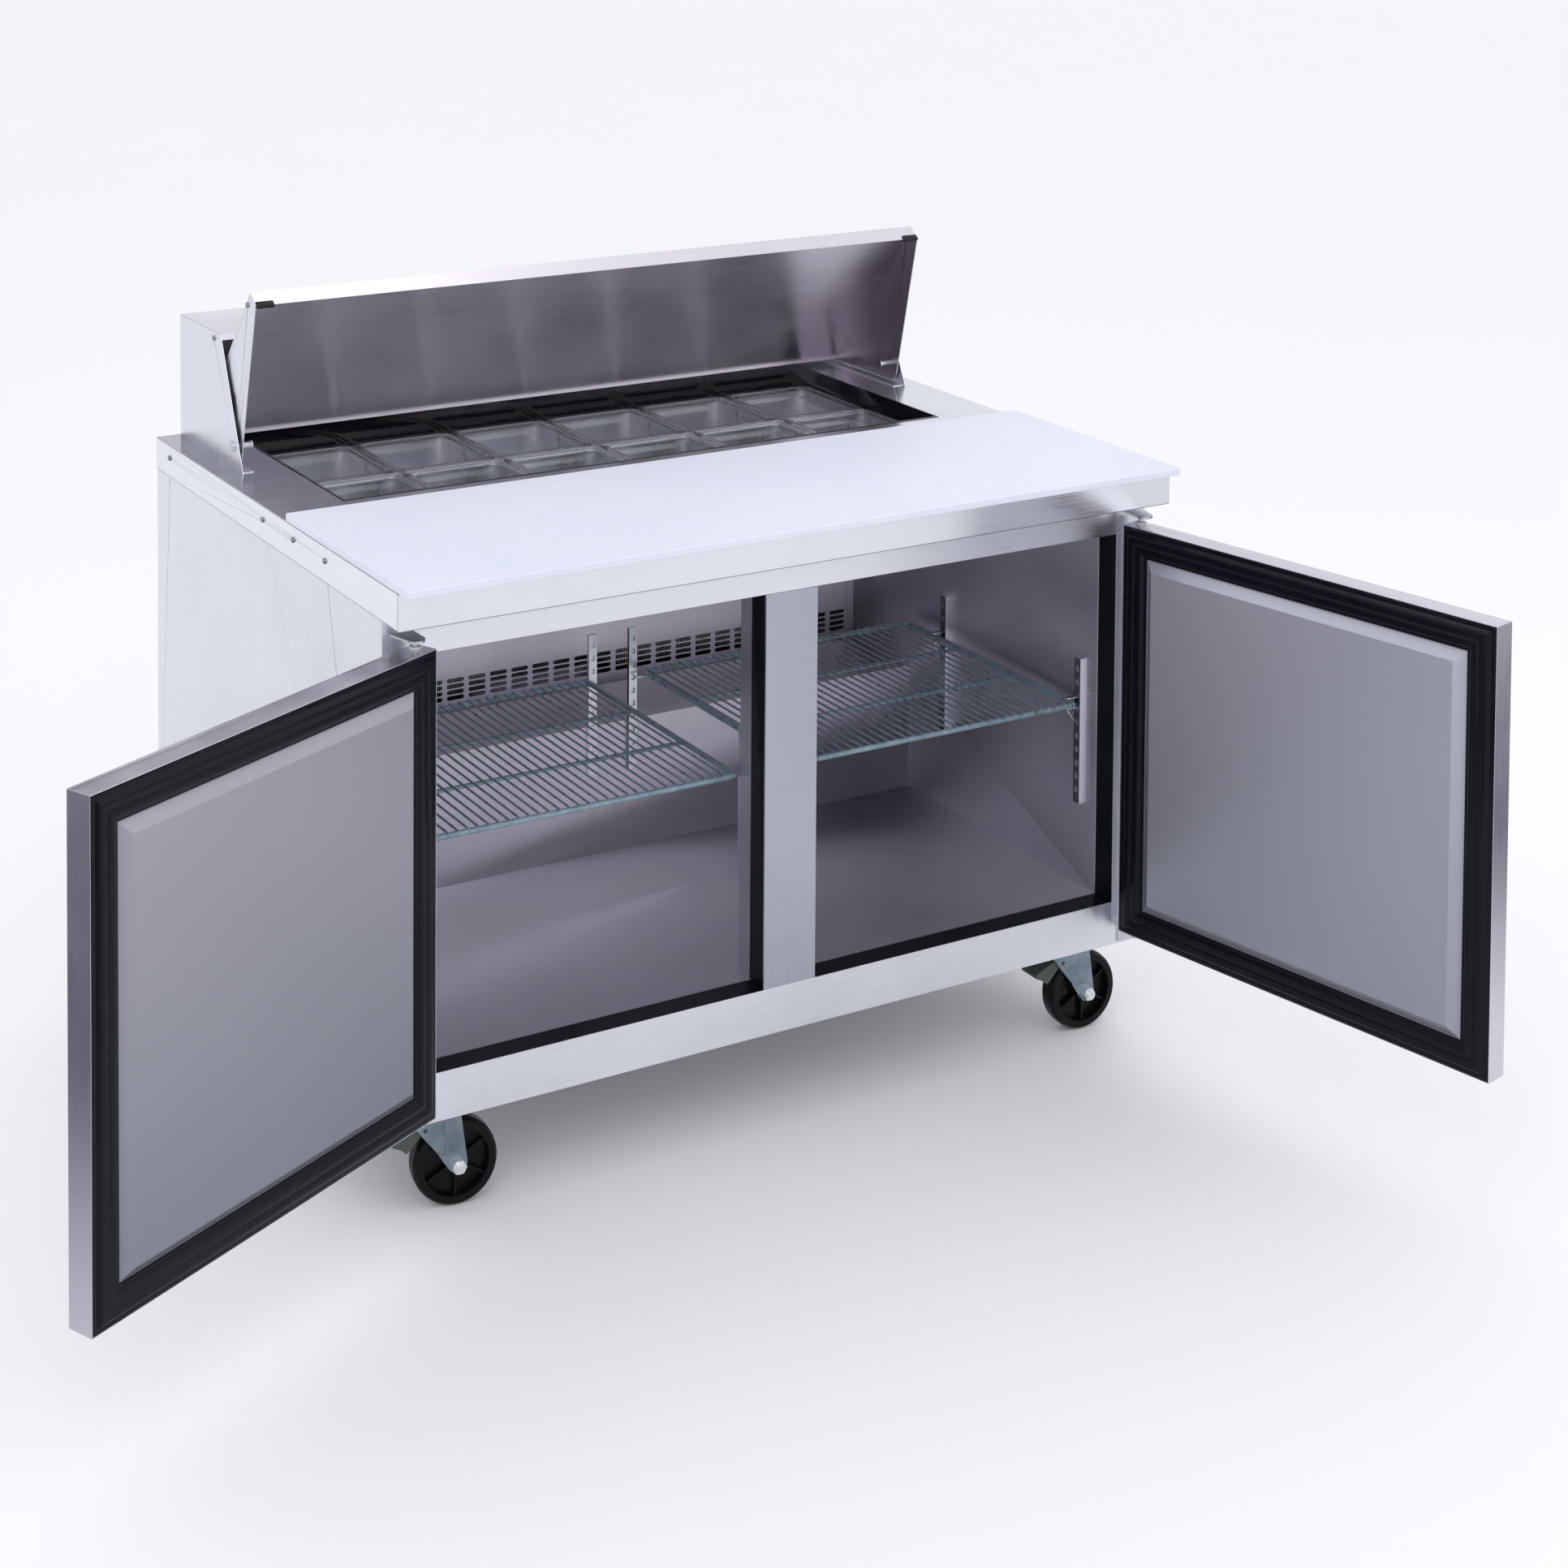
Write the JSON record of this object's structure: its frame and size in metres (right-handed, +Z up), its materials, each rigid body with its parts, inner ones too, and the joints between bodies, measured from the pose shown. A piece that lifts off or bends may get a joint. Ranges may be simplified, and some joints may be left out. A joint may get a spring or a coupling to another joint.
{
  "type": "sandwich prep table",
  "caption": "Refrigerated prep table with a hooded row of food pans, a full-width cutting board, hinged doors, wire shelves and swivel casters.",
  "frame": {"origin": "centre of the cutting board's top face", "axes": "+Z up out of the cutting board, +X to the right along the front, +Y towards the hood at the back"},
  "size_m": [1.8162, 1.446, 1.1084],
  "materials": {
    "stainless": "fine vertical and lengthwise grain",
    "galvanised": "dull galvanised sheet",
    "black_trim": "satin black plastic",
    "liner": "brushed inner sheet",
    "foam": "rigid foam",
    "fasteners": "bright steel",
    "rubber": "matt rubber",
    "white_plastic": "nylon",
    "aluminium": "thin fins",
    "fan_plastic": "moulded",
    "motor": "painted motor can",
    "black_paint": "satin black paint",
    "board": "fine matt texture",
    "clear_plastic": "clear moulded plastic",
    "zinc": "bright zinc plate",
    "epoxy_wire": "grey-blue coated wire",
    "door_liner": "flat inner panel",
    "gasket": "glossy ribbed gasket",
    "wheel": "moulded black wheel",
    "pedal": "dark grey"
  },
  "bodies": {
    "cabinet": {"side_panels": "stainless", "back_panel": "galvanised", "machine_grille": "stainless", "base_pan": "galvanised", "front_rails": "stainless", "centre_mullion": "stainless", "breaker_strips": "black_trim", "cabinet_liner": "liner", "cabinet_foam": "foam", "worktop": "stainless", "sheet_screws": "fasteners", "well_collar": "black_trim", "air_duct_strip": "black_trim", "pan_bars": "stainless", "hood_housing": "stainless", "hood_sides": "stainless", "hinge_brackets": "fasteners", "hinge_bushings": "white_plastic", "shelf_pilasters": "fasteners", "shelf_clips": "fasteners", "evaporator_cover": "liner", "evaporator_coil": "aluminium", "fan_motors": "motor", "compressor": "black_paint", "condenser_coil": "aluminium", "controller": "black_trim", "power_cord": "rubber", "caster_plates": "zinc", "lid_pivot_pins": "fasteners"},
    "lid": {"lid_panel": "stainless", "lid_cheeks": "stainless", "lid_bumpers": "rubber", "lid_screws": "fasteners"},
    "board": {"cutting_board": "board"},
    "pans_front": {"pans_front_row": "clear_plastic"},
    "pans_rear": {"pans_rear_row": "clear_plastic"},
    "door_left": {"door_shell_left": "stainless", "door_core_left": "door_liner", "door_gasket_left": "gasket"},
    "wire_shelf_left": {"shelf_left": "epoxy_wire"},
    "door_right": {"door_shell_right": "stainless", "door_core_right": "door_liner", "door_gasket_right": "gasket"},
    "wire_shelf_right": {"shelf_right": "epoxy_wire"},
    "fan_evaporator": {"evaporator_fan": "fan_plastic"},
    "fan_condenser": {"condenser_fan": "aluminium"},
    "caster_front_left": {"caster_fork_front_left": "zinc", "caster_axle_front_left": "zinc"},
    "wheel_front_left": {"caster_wheel_front_left": "wheel"},
    "caster_front_right": {"caster_fork_front_right": "zinc", "caster_axle_front_right": "zinc"},
    "wheel_front_right": {"caster_wheel_front_right": "wheel"},
    "caster_rear_left": {"caster_fork_rear_left": "zinc", "caster_axle_rear_left": "zinc"},
    "wheel_rear_left": {"caster_wheel_rear_left": "wheel"},
    "caster_rear_right": {"caster_fork_rear_right": "zinc", "caster_axle_rear_right": "zinc"},
    "wheel_rear_right": {"caster_wheel_rear_right": "wheel"},
    "brake_front_left": {"brake_pedal_front_left": "pedal"},
    "brake_front_right": {"brake_pedal_front_right": "pedal"}
  },
  "joints": [
    {"name": "lid_hinge", "type": "hinge", "parent": "cabinet", "child": "lid", "pos_m": [0, 0.463, 0.023], "axis": [-1, 0, 0], "range_deg": [-77.5, 0]},
    {"name": "door_left_hinge", "type": "hinge", "parent": "cabinet", "child": "door_left", "pos_m": [-0.5785, -0.1446, -0.385], "axis": [0, 0, -1], "range_deg": [-154.8, 15.2]},
    {"name": "door_right_hinge", "type": "hinge", "parent": "cabinet", "child": "door_right", "pos_m": [0.5785, -0.1446, -0.385], "axis": [0, 0, 1], "range_deg": [-102.1, 67.9]},
    {"name": "cutting_board_lift", "type": "slide", "parent": "cabinet", "child": "board", "axis": [0, 0, 1], "range_m": [0, 0.12]},
    {"name": "pans_front_lift", "type": "slide", "parent": "cabinet", "child": "pans_front", "axis": [0, 0, 1], "range_m": [0, 0.15]},
    {"name": "pans_rear_lift", "type": "slide", "parent": "cabinet", "child": "pans_rear", "axis": [0, 0, 1], "range_m": [0, 0.028]},
    {"name": "shelf_left_slide", "type": "slide", "parent": "cabinet", "child": "wire_shelf_left", "axis": [0, -1, 0], "range_m": [0, 0.45]},
    {"name": "shelf_right_slide", "type": "slide", "parent": "cabinet", "child": "wire_shelf_right", "axis": [0, -1, 0], "range_m": [0, 0.45]},
    {"name": "evaporator_fan_spin", "type": "hinge", "parent": "cabinet", "child": "fan_evaporator", "pos_m": [0, 0.564, -0.33], "axis": [0, 1, 0], "continuous": true},
    {"name": "condenser_fan_spin", "type": "hinge", "parent": "cabinet", "child": "fan_condenser", "pos_m": [0.15, 0.532, -0.605], "axis": [0, 1, 0], "continuous": true},
    {"name": "caster_front_left_swivel", "type": "hinge", "parent": "cabinet", "child": "caster_front_left", "pos_m": [-0.514, -0.057, -0.725], "axis": [0, 0, 1], "continuous": true},
    {"name": "wheel_front_left_spin", "type": "hinge", "parent": "caster_front_left", "child": "wheel_front_left", "pos_m": [-0.48326, -0.06099, -0.7965], "axis": [0.1288, 0.9917, 0], "continuous": true},
    {"name": "brake_front_left_press", "type": "hinge", "parent": "caster_front_left", "child": "brake_front_left", "pos_m": [-0.52788, -0.0552, -0.743], "axis": [-0.1288, -0.9917, 0], "range_deg": [0, 15]},
    {"name": "caster_front_right_swivel", "type": "hinge", "parent": "cabinet", "child": "caster_front_right", "pos_m": [0.514, -0.057, -0.725], "axis": [0, 0, 1], "continuous": true},
    {"name": "wheel_front_right_spin", "type": "hinge", "parent": "caster_front_right", "child": "wheel_front_right", "pos_m": [0.54499, -0.05765, -0.7965], "axis": [0.0209, 0.9998, 0], "continuous": true},
    {"name": "brake_front_right_press", "type": "hinge", "parent": "caster_front_right", "child": "brake_front_right", "pos_m": [0.5, -0.05671, -0.743], "axis": [-0.0209, -0.9998, 0], "range_deg": [0, 15]},
    {"name": "caster_rear_left_swivel", "type": "hinge", "parent": "cabinet", "child": "caster_rear_left", "pos_m": [-0.514, 0.578, -0.725], "axis": [0, 0, 1], "continuous": true},
    {"name": "wheel_rear_left_spin", "type": "hinge", "parent": "caster_rear_left", "child": "wheel_rear_left", "pos_m": [-0.483, 0.578, -0.7965], "axis": [0, 1, 0], "continuous": true},
    {"name": "caster_rear_right_swivel", "type": "hinge", "parent": "cabinet", "child": "caster_rear_right", "pos_m": [0.514, 0.578, -0.725], "axis": [0, 0, 1], "continuous": true},
    {"name": "wheel_rear_right_spin", "type": "hinge", "parent": "caster_rear_right", "child": "wheel_rear_right", "pos_m": [0.545, 0.578, -0.7965], "axis": [0, 1, 0], "continuous": true}
  ]
}
